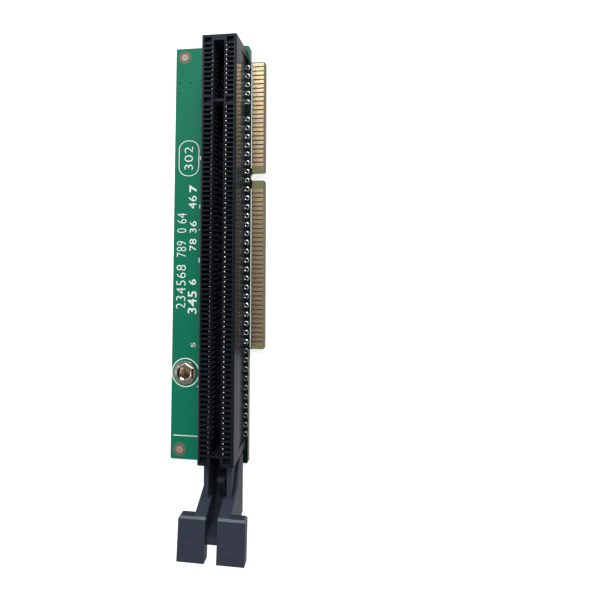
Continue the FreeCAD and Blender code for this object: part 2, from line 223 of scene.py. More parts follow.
def split_facing(nodes, links):
    """The X, Y and Z of the way that a surface faces."""
    surface = nodes.new("ShaderNodeNewGeometry")
    split = nodes.new("ShaderNodeSeparateXYZ")
    links.new(surface.outputs["Normal"], split.inputs["Vector"])
    return split.outputs


def ramp_along(nodes, links, value, start, end, at_start=0.0, at_end=1.0):
    """A number that goes evenly from one value to another, and stays level before the start and after the end."""
    ramp = nodes.new("ShaderNodeMapRange")
    ramp.inputs["From Min"].default_value = start
    ramp.inputs["From Max"].default_value = end
    ramp.inputs["To Min"].default_value = at_start
    ramp.inputs["To Max"].default_value = at_end
    links.new(value, ramp.inputs["Value"])
    return ramp.outputs["Result"]


def calculate(nodes, links, operation, first, second=None):
    """One step of arithmetic on sockets or plain numbers."""
    step = nodes.new("ShaderNodeMath")
    step.operation = operation
    for value, socket in ((first, step.inputs[0]), (second, step.inputs[1])):
        if value is None:
            continue
        if isinstance(value, (int, float)):
            socket.default_value = value
        else:
            links.new(value, socket)
    return step.outputs[0]


def between(nodes, links, value, low, high):
    """A mask that is 1 where a value lies between two numbers."""
    above = calculate(nodes, links, "GREATER_THAN", value, low)
    below = calculate(nodes, links, "LESS_THAN", value, high)
    return calculate(nodes, links, "MULTIPLY", above, below)


def blend_colour(nodes, links, mask, first, second):
    """First colour where the mask is 0, second where it is 1. Either may be a socket or a plain colour."""
    mix = nodes.new("ShaderNodeMix")
    mix.data_type = "RGBA"
    links.new(mask, mix.inputs["Factor"])
    for colour, socket in ((first, mix.inputs["A"]), (second, mix.inputs["B"])):
        if isinstance(colour, tuple):
            socket.default_value = (*colour, 1)
        else:
            links.new(colour, socket)
    return mix.outputs["Result"]


# %% [markdown]
# The board is glass-epoxy with green solder mask on both faces. Where copper lies under the mask it looks lighter than
# where bare laminate does. Along the slot's right side, where no copper lies, the mask is painted darker still:
# painted shade from the slot, laid over the real darker tone of mask on laminate. Its cut edges show the laminate, and
# so does the card edge, where no mask is laid between the fingers. In the narrow gaps the laminate is painted dark, as
# painted shade between the fingers, most of all in the upper row. One material shows all of these: a mask on the
# surface normal finds the cut edges, and masks on the X and Y place find the card edge, the gaps and the strip without
# copper.

# %% Green solder mask over copper and laminate
STRIP_LEFT = SLOT_X - 3.9 * MM
STRIP_TOP = FIRST_Y + 0.9 * MM
TAB_MASK_EDGE = upper_low.x - 0.02 * MM
LEVEL_ENOUGH = 0.9


def make_board_finish():
    material, shader, over_copper = new_finish(
        "solder_mask_green", (0.002, 0.168, 0.092), (0.001, 0.138, 0.074), 60.0, 900.0, 0.000010, 0.28
    )
    shader.inputs["Specular IOR Level"].default_value = 0.26
    nodes, links = material.node_tree.nodes, material.node_tree.links
    x, y, _ = split_place(nodes, links)
    facing = split_facing(nodes, links)
    levelness = calculate(nodes, links, "ABSOLUTE", facing["Z"])
    on_face = calculate(nodes, links, "GREATER_THAN", levelness, LEVEL_ENOUGH)
    on_tab = calculate(nodes, links, "GREATER_THAN", x, TAB_MASK_EDGE)
    # Painted shade: the strip beside the slot, without copper, gets a near-black green that also stands in for the
    # slot's shade.
    under_slot = calculate(nodes, links, "GREATER_THAN", x, STRIP_LEFT)
    below_top = calculate(nodes, links, "LESS_THAN", y, STRIP_TOP)
    no_copper_shaded = calculate(nodes, links, "MULTIPLY", below_top, under_slot)
    laminate_with_painted_shade = add_mottle(nodes, (0.003, 0.014, 0.011), (0.002, 0.008, 0.007), 900.0)
    laminate = add_mottle(nodes, (0.23, 0.23, 0.11), (0.16, 0.17, 0.070), 900.0)
    edge = add_mottle(nodes, (0.20, 0.19, 0.12), (0.13, 0.13, 0.075), 1500.0)
    # Painted shade: the gaps between the fingers are painted dark, deepest in the upper row, for the shade that falls
    # in them.
    painted_gap_shade_deep = add_mottle(nodes, (0.030, 0.021, 0.012), (0.016, 0.011, 0.006), 1500.0)
    painted_gap_shade_light = add_mottle(nodes, (0.085, 0.064, 0.040), (0.050, 0.038, 0.024), 1500.0)
    in_reach = calculate(nodes, links, "LESS_THAN", x, upper_high.x)
    upper_row = between(nodes, links, y, upper_low.y, upper_high.y)
    lower_row = between(nodes, links, y, lower_low.y, lower_high.y)
    upper_gap = calculate(nodes, links, "MULTIPLY", upper_row, in_reach)
    lower_gap = calculate(nodes, links, "MULTIPLY", lower_row, in_reach)
    green = blend_colour(nodes, links, no_copper_shaded, over_copper, laminate_with_painted_shade)
    bare = blend_colour(nodes, links, upper_gap, laminate, painted_gap_shade_deep)
    bare = blend_colour(nodes, links, lower_gap, bare, painted_gap_shade_light)
    face = blend_colour(nodes, links, on_tab, green, bare)
    colour = blend_colour(nodes, links, on_face, edge, face)
    links.new(colour, shader.inputs["Base Color"])
    return material


board_finish = make_board_finish()
print("made", board_finish.name)

# %% [markdown]
# The slot is a smooth black moulding. Moulded plastic is never a mirror: its relief is a few micrometres deep, and its
# shine is weaker than that of polished plastic. Low on its sides, near the solder, it is duller. Deep inside, the
# black is painted paler, as painted light that brightens the channel and the cells. From the middle to the upper end,
# what faces up is painted lighter and lighter, as painted light from the lamps beyond that end, and the left rim is
# painted pale as a painted highlight along its edge. Each of these has a mask on place or facing, and one blend after
# another lays it over the black.

# %% Slot plastic
POLISHED = 0.18
DULLED = 0.42
DULL_FOOT = FRONT + 2.5 * MM
POLISHED_FROM = FRONT + 5.0 * MM
INSIDE_LIGHT_STARTS = slot_high.z - 0.3 * MM
INSIDE_LIGHT_FULL = slot_high.z - 2.5 * MM
CELLS_HALF_WIDTH = 3.18 * MM
LATCH_SEAT_LENGTH = 4.5 * MM
END_SKIN = 0.3 * MM
RIM_WIDTH = 0.20 * MM
RIM_DEPTH = 0.14 * MM
UPWARD = 0.7


def make_housing_finish():
    material, shader, black = new_finish(
        "housing_black", (0.0115, 0.0145, 0.0205), (0.0075, 0.0100, 0.0150), 300.0, 1500.0, 0.000003, POLISHED
    )
    shader.inputs["Specular IOR Level"].default_value = 0.06
    nodes, links = material.node_tree.nodes, material.node_tree.links
    x, y, z = split_place(nodes, links)
    dullness = ramp_along(nodes, links, z, DULL_FOOT, POLISHED_FROM, DULLED, POLISHED)
    links.new(dullness, shader.inputs["Roughness"])

    # Painted light: faces that look up are painted lighter and lighter towards the upper end, for the lamps beyond
    # that end.
    facing = split_facing(nodes, links)
    faces_up = calculate(nodes, links, "GREATER_THAN", facing["Z"], UPWARD)
    toward_end = ramp_along(nodes, links, y, SLOT_MIDDLE_Y, slot_high.y)
    painted_light_mask = calculate(nodes, links, "MULTIPLY", faces_up, toward_end)
    painted_top_light = add_mottle(nodes, (0.028, 0.034, 0.041), (0.021, 0.027, 0.033), 500.0)

    # Painted light: deep in the channel and the cells the black is painted paler, standing in for light that reaches
    # in there.
    depth = ramp_along(nodes, links, z, INSIDE_LIGHT_STARTS, INSIDE_LIGHT_FULL)
    inside_x = between(nodes, links, x, SLOT_X - CELLS_HALF_WIDTH, SLOT_X + CELLS_HALF_WIDTH)
    inside_y = between(nodes, links, y, slot_low.y + LATCH_SEAT_LENGTH, slot_high.y - END_SKIN)
    inside = calculate(nodes, links, "MULTIPLY", inside_x, inside_y)
    deep_inside = calculate(nodes, links, "MULTIPLY", depth, inside)
    painted_inside_light = add_mottle(nodes, (0.060, 0.074, 0.098), (0.046, 0.058, 0.078), 400.0)

    # Painted highlight: the left rim along the top is painted pale, for the light that its rounded edge catches.
    at_left_rim = calculate(nodes, links, "LESS_THAN", x, slot_low.x + RIM_WIDTH)
    at_top = calculate(nodes, links, "GREATER_THAN", z, slot_high.z - RIM_DEPTH)
    painted_edge_highlight = calculate(nodes, links, "MULTIPLY", at_left_rim, at_top)
    pale = add_mottle(nodes, (0.26, 0.28, 0.28), (0.15, 0.17, 0.17), 500.0)

    colour = blend_colour(nodes, links, painted_light_mask, black, painted_top_light)
    colour = blend_colour(nodes, links, deep_inside, colour, painted_inside_light)
    colour = blend_colour(nodes, links, painted_edge_highlight, colour, pale)
    links.new(colour, shader.inputs["Base Color"])
    return material


housing_finish = make_housing_finish()
print("made", housing_finish.name)

# %% [markdown]
# The latch is a satin moulding in dark blue-grey. The rounded edges of its paddle are painted paler, as a painted
# highlight along them. A rounded edge faces along no axis, so the largest of its facing's three numbers is well below
# 1, and a mask on that and on the place finds it.

# %% Latch plastic
PADDLE_TOP = latch_low.y + 8.08 * MM
FLAT_FACING = 0.97


def make_latch_finish():
    material, shader, grey = new_finish(
        "latch_grey", (0.029, 0.036, 0.053), (0.0235, 0.029, 0.044), 220.0, 3000.0, 0.000010, 0.42
    )
    shader.inputs["Specular IOR Level"].default_value = 0.20
    nodes, links = material.node_tree.nodes, material.node_tree.links
    _, y, _ = split_place(nodes, links)
    facing = split_facing(nodes, links)
    largest = 0.0
    for axis in range(3):
        along_axis = calculate(nodes, links, "ABSOLUTE", facing[axis])
        largest = calculate(nodes, links, "MAXIMUM", along_axis, largest)
    # Painted highlight: the rounded edges of the paddle are painted pale, for the light that they catch.
    on_round = calculate(nodes, links, "LESS_THAN", largest, FLAT_FACING)
    on_paddle = calculate(nodes, links, "LESS_THAN", y, PADDLE_TOP)
    painted_edge_highlight = calculate(nodes, links, "MULTIPLY", on_round, on_paddle)
    pale = add_mottle(nodes, (0.125, 0.140, 0.165), (0.075, 0.085, 0.105), 500.0)
    colour = blend_colour(nodes, links, painted_edge_highlight, grey, pale)
    links.new(colour, shader.inputs["Base Color"])
    return material


latch_finish = make_latch_finish()
print("made", latch_finish.name)

# %% [markdown]
# Metals are the same shader with Metallic high: 1 where the metal is clean, and less where gold is worn thin or
# copper is varnished. The fingers are brushed along the way they slide in, so their relief is stretched along X: the
# noise changes slowly in that direction and fast across it.

# %% Finger gold
STREAK_SCALES = (150.0, 6000.0, 1000.0)
STREAK_DEPTH = 0.000012


def make_finger_finish():
    material, shader, _ = new_finish(
        "finger_gold", (0.84, 0.65, 0.40), (0.70, 0.52, 0.31), 500.0, 2500.0, 0.000004, 0.27, 0.87
    )
    nodes, links = material.node_tree.nodes, material.node_tree.links
    place = nodes.new("ShaderNodeTexCoord")
    stretch = nodes.new("ShaderNodeMapping")
    stretch.inputs["Scale"].default_value = STREAK_SCALES
    streaks = nodes.new("ShaderNodeTexNoise")
    streaks.inputs["Scale"].default_value = 1.0
    streaks.inputs["Detail"].default_value = 2.0
    bump = nodes.new("ShaderNodeBump")
    bump.inputs["Strength"].default_value = 1.0
    bump.inputs["Distance"].default_value = STREAK_DEPTH
    links.new(place.outputs["Object"], stretch.inputs["Vector"])
    links.new(stretch.outputs["Vector"], streaks.inputs["Vector"])
    links.new(streaks.outputs["Fac"], bump.inputs["Height"])
    links.new(bump.outputs["Normal"], shader.inputs["Normal"])
    return material


finger_finish = make_finger_finish()
print("made", finger_finish.name)

# %% [markdown]
# A contact is bright only at its polished tip and at its tinned tail. A mask on the height paints its middle nearly
# black: partly a duller plating there, and partly painted shade, so that the cells round it stay dark.

# %% Contact gold
FOOT_TOP = 0.9 * MM
TIP_BOTTOM = slot_high.z - 0.9 * MM


def make_contact_finish():
    material, shader, bright = new_finish(
        "contact_gold", (0.86, 0.76, 0.56), (0.74, 0.62, 0.42), 700.0, 2000.0, 0.000003, 0.26, 1.0
    )
    nodes, links = material.node_tree.nodes, material.node_tree.links
    _, _, z = split_place(nodes, links)
    # Painted shade: the middle of each contact is painted nearly black, partly its duller plating and partly the shade
    # inside the cells.
    above_foot = calculate(nodes, links, "GREATER_THAN", z, FOOT_TOP)
    below_tip = calculate(nodes, links, "LESS_THAN", z, TIP_BOTTOM)
    dull_and_shaded_middle = calculate(nodes, links, "MULTIPLY", above_foot, below_tip)
    colour = blend_colour(nodes, links, dull_and_shaded_middle, bright, (0.060, 0.060, 0.066))
    links.new(colour, shader.inputs["Base Color"])
    return material


contact_finish = make_contact_finish()
print("made", contact_finish.name)

# %% [markdown]
# The other metals are plain: polished tips, bright solder and a darker copy of it that is painted shade, the tinned
# nut, and the copper of the sighting marks. The numbers after a name are its light and dark colour, the scales of
# mottle and relief, the relief's depth, the roughness and the share of metal.

# %% Plain metals
tip_finish, _, _ = new_finish(
    "contact_tip_bright", (0.92, 0.88, 0.80), (0.84, 0.78, 0.68), 900.0, 2000.0, 0.000002, 0.20, 1.0
)
solder_finish, _, _ = new_finish(
    "solder_bright", (0.86, 0.87, 0.88), (0.68, 0.69, 0.71), 1200.0, 2500.0, 0.000008, 0.20, 1.0
)
# Painted shade: a darker, duller copy of the solder for the lower pads, which the lamps light less.
shaded_solder_finish, _, _ = new_finish(
    "solder_painted_shade", (0.34, 0.37, 0.35), (0.20, 0.23, 0.21), 1200.0, 2500.0, 0.000010, 0.32, 1.0
)
nut_finish, _, _ = new_finish(
    "nut_tinned", (0.78, 0.70, 0.59), (0.44, 0.38, 0.31), 500.0, 1800.0, 0.000016, 0.16, 1.0
)
copper_finish, _, _ = new_finish(
    "bare_copper", (0.50, 0.37, 0.262), (0.36, 0.258, 0.182), 900.0, 2500.0, 0.000006, 0.34, 0.40
)
print("made", tip_finish.name, solder_finish.name, shaded_solder_finish.name, nut_finish.name, copper_finish.name)

# %% [markdown]
# White ink is matt and a little uneven, because it is printed on a grained mask. Bare board round a sighting mark is
# brown-grey laminate under a thin varnish. Over a via the mask sinks in and looks darker.

# %% Ink, bare board and vias
ink_finish, _, _ = new_finish(
    "ink_white", (0.88, 0.92, 0.89), (0.74, 0.81, 0.77), 1500.0, 4000.0, 0.000006, 0.60
)
bare_finish, _, _ = new_finish(
    "bare_board", (0.135, 0.125, 0.086), (0.092, 0.087, 0.061), 700.0, 3000.0, 0.000008, 0.45
)
dimple_finish, dimple_shader, _ = new_finish(
    "via_green_dark", (0.001, 0.112, 0.062), (0.001, 0.086, 0.047), 900.0, 3000.0, 0.000008, 0.50
)
dimple_shader.inputs["Specular IOR Level"].default_value = 0.10
print("made", ink_finish.name, bare_finish.name, "and", dimple_finish.name)

# %% [markdown]
# Each CAD piece keeps its mesh and takes its finish in its material slots.


# %% Dress the CAD pieces
def dress(node_name, material):
    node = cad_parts[node_name]
    if not node.material_slots:
        node.data.materials.append(material)
    for material_slot in node.material_slots:
        material_slot.material = material


for node_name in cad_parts:
    if node_name == "circuit_board":
        dress(node_name, board_finish)
    elif node_name == "slot_housing":
        dress(node_name, housing_finish)
    elif node_name == "retention_latch":
        dress(node_name, latch_finish)
    elif node_name == "bracket_nut":
        dress(node_name, nut_finish)
    elif node_name.endswith("fiducial"):
        dress(node_name, copper_finish)
    elif node_name.endswith("fingers"):
        dress(node_name, finger_finish)
    elif node_name.endswith("contacts"):
        dress(node_name, contact_finish)
    elif node_name.endswith("solder"):
        dress(node_name, solder_finish)
print("dressed", len(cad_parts), "pieces")

# %% [markdown]
# New pieces all end the same way: their faces are turned outwards, the mesh becomes an object at the origin, and the
# object takes a finish and rides on the riser or on the latch.


# %% Finish a new piece
def add_piece(bm, name, finish, body, smooth=False):
    bmesh.ops.recalc_face_normals(bm, faces=bm.faces)
    mesh = bpy.data.meshes.new(name)
    bm.to_mesh(mesh)
    bm.free()
    mesh.materials.append(finish)
    if smooth:
        mesh.shade_smooth()
    piece = bpy.data.objects.new(name, mesh)
    bpy.context.scene.collection.objects.link(piece)
    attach(piece, body)
    print("made", name, "with", len(mesh.polygons), "faces")
    return piece


# %% [markdown]
# A moulded edge is never quite sharp, and its small round is what catches the light. The model's edges are sharp, so
# the slot and the latch are copied, their loose triangles are merged, and a bevel rounds the edges that show: those
# of the slot's top, and all of the latch's. The copies then stand for the model's own pieces.


# %% Soft edges for the mouldings
SHARP_TURN = math.radians(30)
SAME_CORNER = 0.001 * MM
SLOT_ROUND = 0.05 * MM
LATCH_ROUND = 0.20 * MM


def merged_copy(node_name):
    """A copy of a CAD piece's mesh with its triangles joined."""
    bm = bmesh.new()
    bm.from_mesh(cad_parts[node_name].data)
    bmesh.ops.remove_doubles(bm, verts=bm.verts, dist=SAME_CORNER)
    return bm


def sharp_edges(bm, lowest):
    """Edges that turn sharply and lie above a height."""
    found = []
    for edge in bm.edges:
        if len(edge.link_faces) != 2 or min(vertex.co.z for vertex in edge.verts) < lowest:
            continue
        if edge.calc_face_angle() > SHARP_TURN:
            found.append(edge)
    return found


def round_edges(bm, edges, width, segments):
    bmesh.ops.bevel(
        bm, geom=edges, offset=width, segments=segments, profile=0.5, affect="EDGES", material=-1, clamp_overlap=True
    )
    print("rounded", len(edges), "edges")


bm = merged_copy("slot_housing")
round_edges(bm, sharp_edges(bm, slot_high.z - 0.01 * MM), SLOT_ROUND, 2)
slot_moulding = add_piece(bm, "slot_moulding", housing_finish, "riser")
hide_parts("slot_housing")

bm = merged_copy("retention_latch")
round_edges(bm, sharp_edges(bm, BACK), LATCH_ROUND, 2)
latch_moulding = add_piece(bm, "latch_moulding", latch_finish, "latch")
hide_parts("retention_latch")

# %% [markdown]
# Many small parts here are turned shapes: domed pads, solder cones, the nut. Each is a profile of (radius, height)
# spun round its axis. The profile is closed, so the spun shape is too.


# %% Turn a profile
CLOSE_POINTS = 0.002 * MM


def turn(bm, profile, centre, segments):
    """Spin a closed profile of (radius, height) points about a vertical axis, and return its new vertices."""
    before = set(bm.verts)
    corners = [bm.verts.new(centre + Vector((radius, 0, height))) for radius, height in profile]
    edges = [bm.edges.new(pair) for pair in zip(corners, corners[1:] + corners[:1])]
    bmesh.ops.spin(
        bm,
        geom=corners + edges,
        cent=centre,
        axis=(0, 0, 1),
        angle=2 * math.pi,
        steps=segments,
        use_merge=True,
        use_duplicate=False,
    )
    made = [vertex for vertex in bm.verts if vertex not in before]
    bmesh.ops.remove_doubles(bm, verts=made, dist=CLOSE_POINTS)
    return [vertex for vertex in bm.verts if vertex not in before]


# %% [markdown]
# A pad is a ring of copper, tinned by solder that has run over it and drawn up into a dome round the contact's tail.
# Only the outer row shows beside the slot's foot, on both sides of it. Below the card edge the pads take a darker,
# duller
# copy of the solder: painted shade, as the lamps light them less there.

# %% Front pads
PAD_REACH = 3.55 * MM
PAD_SIDES = 12
# Painted shade: pads below this height take the darker solder copy, as the lamps light them less there.
SHADE_BELOW = lower_low.y - 0.2 * MM
pad_profile = [
    (0.66 * MM, 0.0),
    (0.62 * MM, 0.10 * MM),
    (0.50 * MM, 0.20 * MM),
    (0.38 * MM, 0.20 * MM),
    (0.30 * MM, 0.12 * MM),
    (0.27 * MM, 0.0),
]
bright_pads = bmesh.new()
shaded_pads = bmesh.new()
for side in (-1, 1):
    for y, row in contact_list:
        if row == "outer":
            bm = bright_pads if y > SHADE_BELOW else shaded_pads
            turn(bm, pad_profile, Vector((SLOT_X + side * PAD_REACH, y, FRONT)), PAD_SIDES)
add_piece(bright_pads, "front_pads", solder_finish, "riser", smooth=True)
add_piece(shaded_pads, "lower_front_pads", shaded_solder_finish, "riser", smooth=True)

# %% [markdown]
# On the back, each tail ends in a cone of solder. The plain cones of the model give way to rounder ones that flow out
# into their pads.

# %% Solder joints
OUTER_REACH = 3.3 * MM
INNER_REACH = 1.45 * MM
JOINT_SIDES = 8
solder_profile = [
    (0.76 * MM, 0.0),
    (0.76 * MM, -0.04 * MM),
    (0.55 * MM, -0.14 * MM),
    (0.36 * MM, -0.42 * MM),
    (0.24 * MM, -0.74 * MM),
    (0.12 * MM, -0.88 * MM),
    (0.02 * MM, -0.90 * MM),
    (0.02 * MM, 0.0),
]
bm = bmesh.new()
for side in (-1, 1):
    for y, row in contact_list:
        reach = OUTER_REACH if row == "outer" else INNER_REACH
        turn(bm, solder_profile, Vector((SLOT_X + side * reach, y, BACK)), JOINT_SIDES)
solder_joints = add_piece(bm, "solder_joints", solder_finish, "riser")
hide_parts(*[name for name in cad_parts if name.endswith("solder")])

# %% [markdown]
# The tips of the spring contacts are bent over and polished. From above they are the brightest spots in the slot, so
# each gets a small rounded end. The row beside the card edge springs out a little further, and shows more of it.
# Each row is given as its side, the radius of its tips and their depth below the slot's top.

# %% Contact tips
TIP_REACH = 1.56 * MM
TIP_STRETCH = 1.3
left_row = (-1, 0.11 * MM, 0.46 * MM)
right_row = (1, 0.20 * MM, 0.34 * MM)
bm = bmesh.new()
for side, radius, depth in (left_row, right_row):
    for y, _ in contact_list:
        tip = bmesh.ops.create_uvsphere(bm, u_segments=8, v_segments=5, radius=radius)["verts"]
        bmesh.ops.scale(bm, verts=tip, vec=(1.0, TIP_STRETCH, 1.0))
        bmesh.ops.translate(bm, verts=tip, vec=(SLOT_X + side * TIP_REACH, y, slot_high.z - depth))
add_piece(bm, "contact_tips", tip_finish, "riser", smooth=True)

# %% [markdown]
# The nut is pressed into the board. One closed profile makes its flange, its hexagon, its blind threaded bore and its
# shank. The hexagon's part of the spun shape is then drawn in to six flats: every point moves towards the axis, to
# where the flat lies at its angle, and only the six corners stay.

# %% Bracket nut
THREAD_TURNS = 4
THREAD_PITCH = 0.5 * MM
THREAD_TOP = 0.60 * MM
NUT_FLOOR = BACK + 0.2 * MM
NUT_SIDES = 48
HEXAGON_FROM = FRONT + 0.32 * MM
HEXAGON_BEYOND = 2.0 * MM
nut_profile = [
    (2.60 * MM, 0.0),
    (2.60 * MM, 0.18 * MM),
    (2.48 * MM, 0.29 * MM),
    (2.24 * MM, 0.30 * MM),
    (2.19 * MM, 0.34 * MM),
    (2.19 * MM, 0.76 * MM),
    (2.05 * MM, 0.90 * MM),
    (1.62 * MM, 0.90 * MM),
    (1.45 * MM, 0.74 * MM),
]
for number in range(THREAD_TURNS):
    height = THREAD_TOP - number * THREAD_PITCH
    nut_profile.append((1.26 * MM, height))
    nut_profile.append((1.44 * MM, height - THREAD_PITCH / 2))
nut_profile += [(1.30 * MM, NUT_FLOOR), (0.02 * MM, NUT_FLOOR), (0.02 * MM, BACK), (1.95 * MM, BACK), (1.95 * MM, 0.0)]


def draw_in_to_flats(vertices, from_height, beyond_radius):
    """Turn the round part above a height, and beyond the thread, into a hexagon with a corner on the Y axis."""
    for vertex in vertices:
        radius = math.hypot(vertex.co.x, vertex.co.y)
        if vertex.co.z < from_height or radius < beyond_radius:
            continue
        from_flat_middle = math.atan2(vertex.co.x, vertex.co.y) % (math.pi / 3) - math.pi / 6
        flat = math.cos(math.pi / 6) / math.cos(from_flat_middle)
        vertex.co.x *= flat
        vertex.co.y *= flat


bm = bmesh.new()
nut_vertices = turn(bm, nut_profile, Vector((0, 0, FRONT)), NUT_SIDES)
draw_in_to_flats(nut_vertices, HEXAGON_FROM, HEXAGON_BEYOND)
nut = add_piece(bm, "nut", nut_finish, "riser")
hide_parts("bracket_nut")

# %% [markdown]
# A sighting mark is a bare copper disc in a round opening of the mask. The opening shows as a flat ring of bare board,
# and a small dark dot marks the disc's middle.


# %% Rings and dots of the sighting marks
def turn_on_marks(profile, segments):
    """The same turned shape on both sighting marks."""
    bm = bmesh.new()
    for node_name in ("upper_fiducial", "lower_fiducial"):
        low, high = corners_of(node_name)
        middle = (low + high) / 2
        turn(bm, profile, Vector((middle.x, middle.y, FRONT)), segments)
    return bm


ring_profile = [(1.50 * MM, 0.0), (1.46 * MM, 0.02 * MM), (0.82 * MM, 0.02 * MM), (0.80 * MM, 0.0)]
add_piece(turn_on_marks(ring_profile, 40), "mark_rings", bare_finish, "riser")
dot_profile = [(0.17 * MM, 0.0), (0.17 * MM, 0.060 * MM), (0.04 * MM, 0.066 * MM), (0.04 * MM, 0.0)]
add_piece(turn_on_marks(dot_profile, 16), "mark_dots", bare_finish, "riser")

# %% [markdown]
# Small plated holes under the mask, called vias, show as dark dots. A few stand near the board's upper end, and a
# row of them runs beside the slot. Their places are in millimetres.

# %% Vias
via_profile = [(0.30 * MM, 0.0), (0.24 * MM, 0.02 * MM), (0.05 * MM, 0.012 * MM), (0.05 * MM, 0.0)]
VIA_ROW_X = 2.95
VIA_ROW_TOP = 72.3
VIA_STEP = 5.7
via_places = [(-2.4, 66.4), (0.4, 66.3), (-2.4, 63.9)]
via_places += [(VIA_ROW_X, VIA_ROW_TOP - VIA_STEP * number) for number in range(6)]
bm = bmesh.new()
for x, y in via_places:
    turn(bm, via_profile, Vector((x * MM, y * MM, FRONT)), 14)
add_piece(bm, "vias", dimple_finish, "riser")

# %% [markdown]
# The white print is ink laid on the mask, about 0.02 mm thick. Lines are thin flat strips, and the circle round the
# nut and the frame further up are flat bands.

# %% Printed lines
INK = 0.02 * MM


def add_strip(bm, x_from, x_to, y_from, y_to):
    """Flat printed bar between two corners."""
    bar = bmesh.ops.create_cube(bm, size=1.0)["verts"]
    bmesh.ops.scale(bm, verts=bar, vec=(x_to - x_from, y_to - y_from, INK))
    middle = ((x_from + x_to) / 2, (y_from + y_to) / 2, FRONT + INK / 2)
    bmesh.ops.translate(bm, verts=bar, vec=middle)


def add_frame(bm, centre, width, length, corner, line):
    """Flat band along a rectangle with rounded corners."""
    before = set(bm.verts)
    bmesh.ops.create_grid(bm, x_segments=1, y_segments=1, size=0.5)
    corners = [vertex for vertex in bm.verts if vertex not in before]
    bmesh.ops.scale(bm, verts=corners, vec=(width, length, 1))
    bmesh.ops.translate(bm, verts=corners, vec=centre)
    bmesh.ops.bevel(
        bm, geom=corners, offset=corner, segments=8, profile=0.5, affect="VERTICES", material=-1, clamp_overlap=True
    )
    faces = [face for face in bm.faces if not before.intersection(face.verts)]
    band = bmesh.ops.inset_region(bm, faces=faces, thickness=line, use_even_offset=True, use_boundary=True)
    bmesh.ops.delete(bm, geom=faces, context="FACES")
    raised = bmesh.ops.extrude_face_region(bm, geom=band["faces"])
    lifted = [item for item in raised["geom"] if isinstance(item, bmesh.types.BMVert)]
    bmesh.ops.translate(bm, verts=lifted, vec=(0, 0, INK))


LINE_X = ROOT_X + 0.42 * MM
LINE_HALF = 0.10 * MM
bm = bmesh.new()
for low, high in ((lower_low, lower_high), (upper_low, upper_high)):
    add_strip(bm, LINE_X - LINE_HALF, LINE_X + LINE_HALF, low.y - 0.5 * MM, high.y + 0.15 * MM)
add_strip(bm, -2.7 * MM, 3.4 * MM, -13.95 * MM, -13.78 * MM)
frame_centre = (0.14 * MM, 48.6 * MM, FRONT)
add_frame(bm, frame_centre, width=4.9 * MM, length=8.3 * MM, corner=2.2 * MM, line=0.16 * MM)
circle_profile = [(3.22 * MM, 0.0), (3.21 * MM, INK), (3.03 * MM, INK), (3.02 * MM, 0.0)]
turn(bm, circle_profile, Vector((0, 0, FRONT)), 72)
add_piece(bm, "printed_lines", ink_finish, "riser")

# %% [markdown]
# The board is also printed with characters. They are plain numerals here, in the places and sizes of such print. Each
# group is a text object turned into a mesh, scaled to fill its place, turned to read upwards, and laid on the ink's
# height. A thin, medium or bold print comes from the text's offset, which draws the strokes in or out.

# %% Printed numerals
THIN, SLIM, MEDIUM, BOLD, HEAVY = -0.014, -0.010, 0.0, 0.010, 0.030
LETTER_SPACE = 1.08
PLACE_NUMBER_HEIGHT = 1.3


def numeral_mesh(words, offset):
    """Mesh of a flat text with its lower left corner at the origin, 1 wide and 1 high."""
    text = bpy.data.curves.new("numerals", "FONT")
    text.body = words
    text.resolution_u = 3
    text.offset = offset
    text.space_character = LETTER_SPACE
    source = bpy.data.objects.new("numerals", text)
    bpy.context.scene.collection.objects.link(source)
    bpy.context.view_layer.update()
    mesh = bpy.data.meshes.new_from_object(source.evaluated_get(bpy.context.evaluated_depsgraph_get()))
    bpy.data.objects.remove(source)
    low = Vector([min(vertex.co[axis] for vertex in mesh.vertices) for axis in range(3)])
    high = Vector([max(vertex.co[axis] for vertex in mesh.vertices) for axis in range(3)])
    mesh.transform(Matrix.Translation(-low))
    mesh.transform(Matrix.Diagonal((1 / (high.x - low.x), 1 / (high.y - low.y), 1, 1)))
    return mesh


def add_numerals(bm, words, x_top, x_base, y_from, y_to, offset=MEDIUM):
    """Print numerals that read along +Y, with their tops towards -X. The four places are in millimetres."""
    mesh = numeral_mesh(words, offset)
    mesh.transform(Matrix.Diagonal(((y_to - y_from) * MM, (x_base - x_top) * MM, 1, 1)))
    mesh.transform(Matrix.Rotation(math.pi / 2, 4, "Z"))
    mesh.transform(Matrix.Translation((x_base * MM, y_from * MM, FRONT + INK)))
    bm.from_mesh(mesh)
    bpy.data.meshes.remove(mesh)


bm = bmesh.new()
add_numerals(bm, "234568", -2.45, -0.25, 14.2, 24.1, THIN)
add_numerals(bm, "789  0 64", -2.45, -0.25, 25.9, 35.9, THIN)
add_numerals(bm, "345", 0.3, 2.4, 13.15, 18.2, BOLD)
add_numerals(bm, "6", 0.5, 2.2, 19.6, 20.9, BOLD)
add_numerals(bm, "78 36", 0.55, 2.15, 27.3, 34.1)
add_numerals(bm, "46", 0.2, 2.1, 36.95, 39.9)
add_numerals(bm, "7", 0.35, 2.15, 40.75, 42.4, HEAVY)
add_numerals(bm, "302", -0.9, 1.1, 45.9, 51.3, THIN)
add_numerals(bm, "5", 1.2, 2.2, 5.6, 6.7, SLIM)
for number, y in enumerate((48.1, 36.9, 31.1, 24.5, -3.8), start=2):
    add_numerals(bm, str(number), 2.75, 4.35, y, y + PLACE_NUMBER_HEIGHT)
add_piece(bm, "numerals", ink_finish, "riser")

# %% [markdown]
# The scene is a plain pale floor under soft light. The floor reads as white from the camera, shows a little brighter
# in shiny surfaces too, and keeps the shadow of the object. Light Path tells these kinds of ray apart from the rest.

# %% Floor
FLOOR_Z = cad_box[0][2]
FLOOR_SIZE = 3.0
FLOOR_GLOW = 0.80
MIRRORED_GLOW = 0.08


